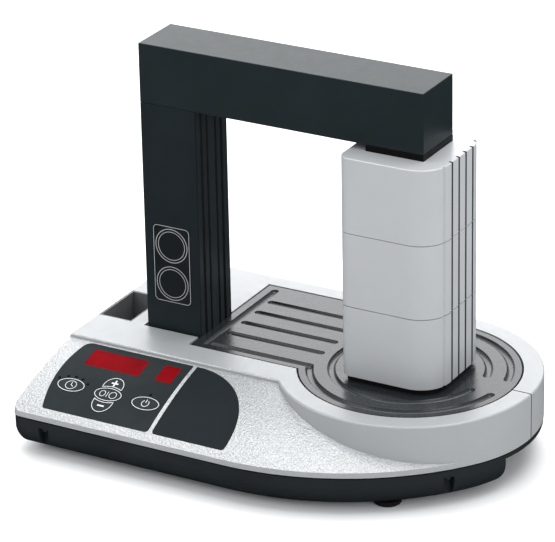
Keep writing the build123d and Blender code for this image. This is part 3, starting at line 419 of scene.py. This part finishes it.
def strip(name, points, normals, width, closed, material, body):
    """A thin printed line that follows points on a surface."""
    mesh = bpy.data.meshes.new(name)
    work = bmesh.new()
    count = len(points)
    rows = []
    for index, (point, normal) in enumerate(zip(points, normals)):
        after = points[(index + 1) % count] if closed or index < count - 1 else point
        before = points[index - 1] if closed or index > 0 else point
        side = normal.cross(after - before).normalized() * (width / 2)
        up = normal.normalized() * PRINT_LIFT
        rows.append([
            work.verts.new(point - side + up),
            work.verts.new(point + side + up),
            work.verts.new(point + side - up),
            work.verts.new(point - side - up),
        ])
    last = count if closed else count - 1
    for index in range(last):
        a, b = rows[index], rows[(index + 1) % count]
        for k in range(4):
            work.faces.new((a[k], a[(k + 1) % 4], b[(k + 1) % 4], b[k]))
    if not closed:
        work.faces.new(rows[0])
        work.faces.new(list(reversed(rows[-1])))
    bmesh.ops.recalc_face_normals(work, faces=work.faces)
    work.to_mesh(mesh)
    work.free()
    mesh.materials.append(material)
    piece = bpy.data.objects.new(name, mesh)
    bpy.context.scene.collection.objects.link(piece)
    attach(piece, body)


def key_line(key, name, plan, width=BOLD_LINE, closed=False):
    """A printed line given in plan, laid on a key's upper face; it moves with the key."""
    tree = tree_of(key)
    hits = [drape(x, y, tree) for x, y in plan]
    points, normals = zip(*[hit for hit in hits if hit[0] is not None])
    strip(f"{key}_{name}", points, normals, width, closed, PRINT, key)


def ellipse(cx, cy, a, b, count=48, start=0.0, sweep=FULL_TURN):
    """Points of an ellipse or of part of one."""
    step = sweep / (count if sweep >= FULL_TURN else count - 1)
    return [
        (cx + a * cos(start + index * step), cy + b * sin(start + index * step))
        for index in range(count)
    ]


def rim_loop(node_name):
    """Plan of a key's upper face, as an ordered loop read from its mesh."""
    work = bmesh.new()
    work.from_mesh(NODES[node_name].data)
    bmesh.ops.remove_doubles(work, verts=work.verts, dist=WELD)
    tree = tree_of(node_name)
    top = set()
    for face in work.faces:
        point = face.calc_center_median()
        hit = drape(point.x, point.y, tree)[0]
        looks_up = face.normal.z > TOP_LOOKS_UP
        if hit is not None and looks_up and abs(hit.z - point.z) < ON_TOP:
            top.add(face)
    edges = [e for e in work.edges if len([f for f in e.link_faces if f in top]) == 1]
    links = {}
    for edge in edges:
        a, b = edge.verts
        links.setdefault(a, []).append(b)
        links.setdefault(b, []).append(a)
    start = edges[0].verts[0]
    loop, previous, current = [start], None, start
    while True:
        onward = [v for v in links[current] if v is not previous]
        previous, current = current, onward[0]
        if current is start:
            break
        loop.append(current)
    points = [(v.co.x, v.co.y) for v in loop]
    work.free()
    return points


def inset_loop(points, distance):
    """Moves a closed plan loop inwards."""
    area = sum(
        points[i - 1][0] * points[i][1] - points[i][0] * points[i - 1][1]
        for i in range(len(points))
    )
    turn = 1 if area > 0 else -1
    moved = []
    for index, (x, y) in enumerate(points):
        ax, ay = points[index - 1]
        bx, by = points[(index + 1) % len(points)]
        dx, dy = bx - ax, by - ay
        size = (dx * dx + dy * dy) ** 0.5
        moved.append((x - turn * dy / size * distance, y + turn * dx / size * distance))
    return moved


def centre(node_name):
    """Middle of a node in plan."""
    low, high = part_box(node_name)
    return (low.x + high.x) / 2, (low.y + high.y) / 2


for key in ("key_mode", "key_plus", "key_enter", "key_minus", "key_start"):
    key_line(key, "outline", inset_loop(rim_loop(key), KEY_INSET), KEY_LINE, True)

SIGN = 3.4 * MM  # half the length of the plus and minus signs' strokes
SIGN_W = 1.5 * MM
px, py = centre("key_plus")
key_line("key_plus", "bar", [(px - SIGN, py), (px + SIGN, py)], SIGN_W)
key_line("key_plus", "stem", [(px, py - SIGN), (px, py + SIGN)], SIGN_W)
mx, my = centre("key_minus")
key_line("key_minus", "bar", [(mx - SIGN, my), (mx + SIGN, my)], SIGN_W)

# plain generic signs: a clock on the mode key, two rings and a divider on the middle key,
# an open ring with a stem on the start key
DIAL_A, DIAL_B = 5.2 * MM, 4.4 * MM
HOUR_HAND = 3.0 * MM
MINUTE_X, MINUTE_Y = 2.6 * MM, -1.2 * MM
kx, ky = centre("key_mode")
hands = [(kx, ky + HOUR_HAND), (kx, ky), (kx + MINUTE_X, ky + MINUTE_Y)]
key_line("key_mode", "dial", ellipse(kx, ky, DIAL_A, DIAL_B), FINE_LINE, True)
key_line("key_mode", "hand", hands)

SMALL_A, SMALL_B, SMALL_X = 2.6 * MM, 3.0 * MM, -5.4 * MM
LARGE_R, LARGE_X = 3.4 * MM, 5.0 * MM
DIVIDER_X, DIVIDER_HALF = -0.6 * MM, 3.0 * MM
ex, ey = centre("key_enter")
divider = [(ex + DIVIDER_X, ey - DIVIDER_HALF), (ex + DIVIDER_X, ey + DIVIDER_HALF)]
key_line("key_enter", "left_ring", ellipse(ex + SMALL_X, ey, SMALL_A, SMALL_B), FINE_LINE, True)
key_line("key_enter", "right_ring", ellipse(ex + LARGE_X, ey, LARGE_R, LARGE_R), FINE_LINE, True)
key_line("key_enter", "divider", divider, FINE_LINE)

START_R = 3.4 * MM
START_POINTS = 40
START_GAP_END, START_SWEEP = radians(125), radians(290)
STEM_LOW, STEM_HIGH = 0.6 * MM, 4.4 * MM
sx, sy = centre("key_start")
open_ring = ellipse(sx, sy, START_R, START_R, START_POINTS, START_GAP_END, START_SWEEP)
key_line("key_start", "ring", open_ring, KEY_LINE)
key_line("key_start", "stem", [(sx, sy + STEM_LOW), (sx, sy + STEM_HIGH)])

# rounded frame and two plain double rings on the post's label
FRAME_INSET = 1.2 * MM
FRAME_CORNER = 4.0 * MM
RING_R = 16.0 * MM
INNER_RING = 0.84  # share of the outer ring's radius
RING_RISE = 0.5  # of the frame's half height, from its middle to a ring's middle
low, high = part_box("post_label")
label_x, label_z = (low.x + high.x) / 2, (low.z + high.z) / 2
label_front = low.y
half_w = (high.x - low.x) / 2 - FRAME_INSET
half_h = (high.z - low.z) / 2 - FRAME_INSET


def label_line(name, plan, width):
    """A closed printed line on the label, given in the label's own plane."""
    points = [Vector((x, label_front, z)) for x, z in plan]
    normals = [Vector((0, -1, 0))] * len(points)
    strip(name, points, normals, width, True, DIM_PRINT, BODY)


def corner_arc(cx, cz, start):
    """A quarter of a circle at a corner of the frame, from a start angle in degrees."""
    start, quarter = radians(start), radians(90)
    return ellipse(cx, cz, FRAME_CORNER, FRAME_CORNER, CORNER_POINTS, start, quarter)


frame_line = []
for sign_x, sign_z, start in ((1, 1, 0), (-1, 1, 90), (-1, -1, 180), (1, -1, 270)):
    cx = label_x + sign_x * (half_w - FRAME_CORNER)
    cz = label_z + sign_z * (half_h - FRAME_CORNER)
    frame_line += corner_arc(cx, cz, start)
label_line("label_frame", frame_line, FINE_LINE)
for index, side in enumerate((1, -1)):
    z = label_z + side * half_h * RING_RISE
    for ring, share, width in (("outer", 1.0, BOLD_LINE), ("inner", INNER_RING, FINE_LINE)):
        radius = RING_R * share
        circle = ellipse(label_x, z, radius, radius, RING_POINTS)
        label_line(f"label_ring_{index}_{ring}", circle, width)


# ---------------------------------------------------------------- floor, light and camera
LIT_PLACE = Vector((0, 0, 0.1))  # what the studio lights point at
SOFTBOXES = (  # name, place, size, power in watts
    ("overhead", (-0.1, 0.5, 2.3), (2.8, 2.2), 64),
    ("front_left", (-1.6, -1.9, 1.5), (1.8, 1.8), 15),
    ("front_right", (2.4, -1.1, 1.0), (1.6, 1.2), 17),
    ("back", (-1.2, 2.1, 1.15), (2.6, 1.0), 24),
)
FLOOR_SIZE = 14
FLOOR_BACK = 2  # the floor's middle lies this far behind the object
FLOOR_CLOUD = 1.5  # size of the floor's faint patches
WORLD_STOPS = (  # height from straight down (0) to straight up (1), colour
    (0.44, (0.02, 0.022, 0.025, 1)),
    (0.54, (0.34, 0.35, 0.36, 1)),
    (0.66, (0.95, 0.97, 1.0, 1)),
)
WORLD_STRENGTH = 0.8


def softbox(name, place, size, power):
    """A rectangular studio light that points at the object."""
    light = bpy.data.lights.new(name, "AREA")
    light.shape = "RECTANGLE"
    light.size, light.size_y = size
    light.energy = power
    lamp = bpy.data.objects.new(name, light)
    lamp.location = place
    lamp.rotation_euler = (LIT_PLACE - Vector(place)).to_track_quat("-Z", "Y").to_euler()
    bpy.context.scene.collection.objects.link(lamp)


def surroundings():
    """Room light that is bright overhead and dark below, so that upright gloss stays deep."""
    world = bpy.data.worlds.new("studio")
    bpy.context.scene.world = world
    world.use_nodes = True
    nodes, links = world.node_tree.nodes, world.node_tree.links
    direction = nodes.new("ShaderNodeTexCoord")
    split = nodes.new("ShaderNodeSeparateXYZ")
    height = nodes.new("ShaderNodeMapRange")
    height.inputs["From Min"].default_value = -1.0
    height.inputs["From Max"].default_value = 1.0
    ramp = nodes.new("ShaderNodeValToRGB")
    below, level, above = WORLD_STOPS
    stops = ramp.color_ramp.elements
    stops[0].position, stops[0].color = below
    stops[1].position, stops[1].color = above
    stops.new(level[0]).color = level[1]
    links.new(direction.outputs["Generated"], split.inputs["Vector"])
    links.new(split.outputs["Z"], height.inputs["Value"])
    links.new(height.outputs["Result"], ramp.inputs["Fac"])
    links.new(ramp.outputs["Color"], nodes["Background"].inputs["Color"])
    nodes["Background"].inputs["Strength"].default_value = WORLD_STRENGTH


def studio():
    """Plain pale floor under a soft, mostly overhead light."""
    bpy.ops.mesh.primitive_plane_add(size=FLOOR_SIZE, location=(0, FLOOR_BACK, CAD_BOX[0][2]))
    floor = bpy.context.object
    floor.name = "floor"
    floor.visible_glossy = False  # keeps the pale floor out of the upright gloss
    made = Surface("floor_white", (0.93, 0.93, 0.93), 0.8, specular=0.1)
    made.tint(made.noise(FLOOR_CLOUD), (0.925, 0.922, 0.92))
    floor.data.materials.append(made.material)
    for name, place, size, power in SOFTBOXES:
        softbox(name, place, size, power)


# the camera, solved from the photograph's edges
AZIMUTH = radians(29.68)
ELEVATION = radians(23.95)
ROLL = radians(-1.146)
DISTANCE = 3.189
AIM = Vector((-0.0612, 0.0712, 0.1187))
LENS = 230.45
SENSOR = 36
FAR_END = 50


def camera():
    """The camera stands well back, to the right of the front, with a long lens."""
    data = bpy.data.cameras.new("camera")
    data.lens = LENS
    data.sensor_width = SENSOR
    data.clip_end = FAR_END
    eye = bpy.data.objects.new("camera", data)
    turn = (
        Matrix.Rotation(AZIMUTH, 4, "Z")
        @ Matrix.Rotation(radians(90) - ELEVATION, 4, "X")
        @ Matrix.Rotation(ROLL, 4, "Z")
    )
    back = turn.to_3x3() @ Vector((0, 0, 1))
    eye.matrix_world = Matrix.Translation(AIM + back * DISTANCE) @ turn
    bpy.context.scene.collection.objects.link(eye)
    bpy.context.scene.camera = eye


surroundings()
studio()
camera()
bpy.context.scene.view_settings.view_transform = "Standard"
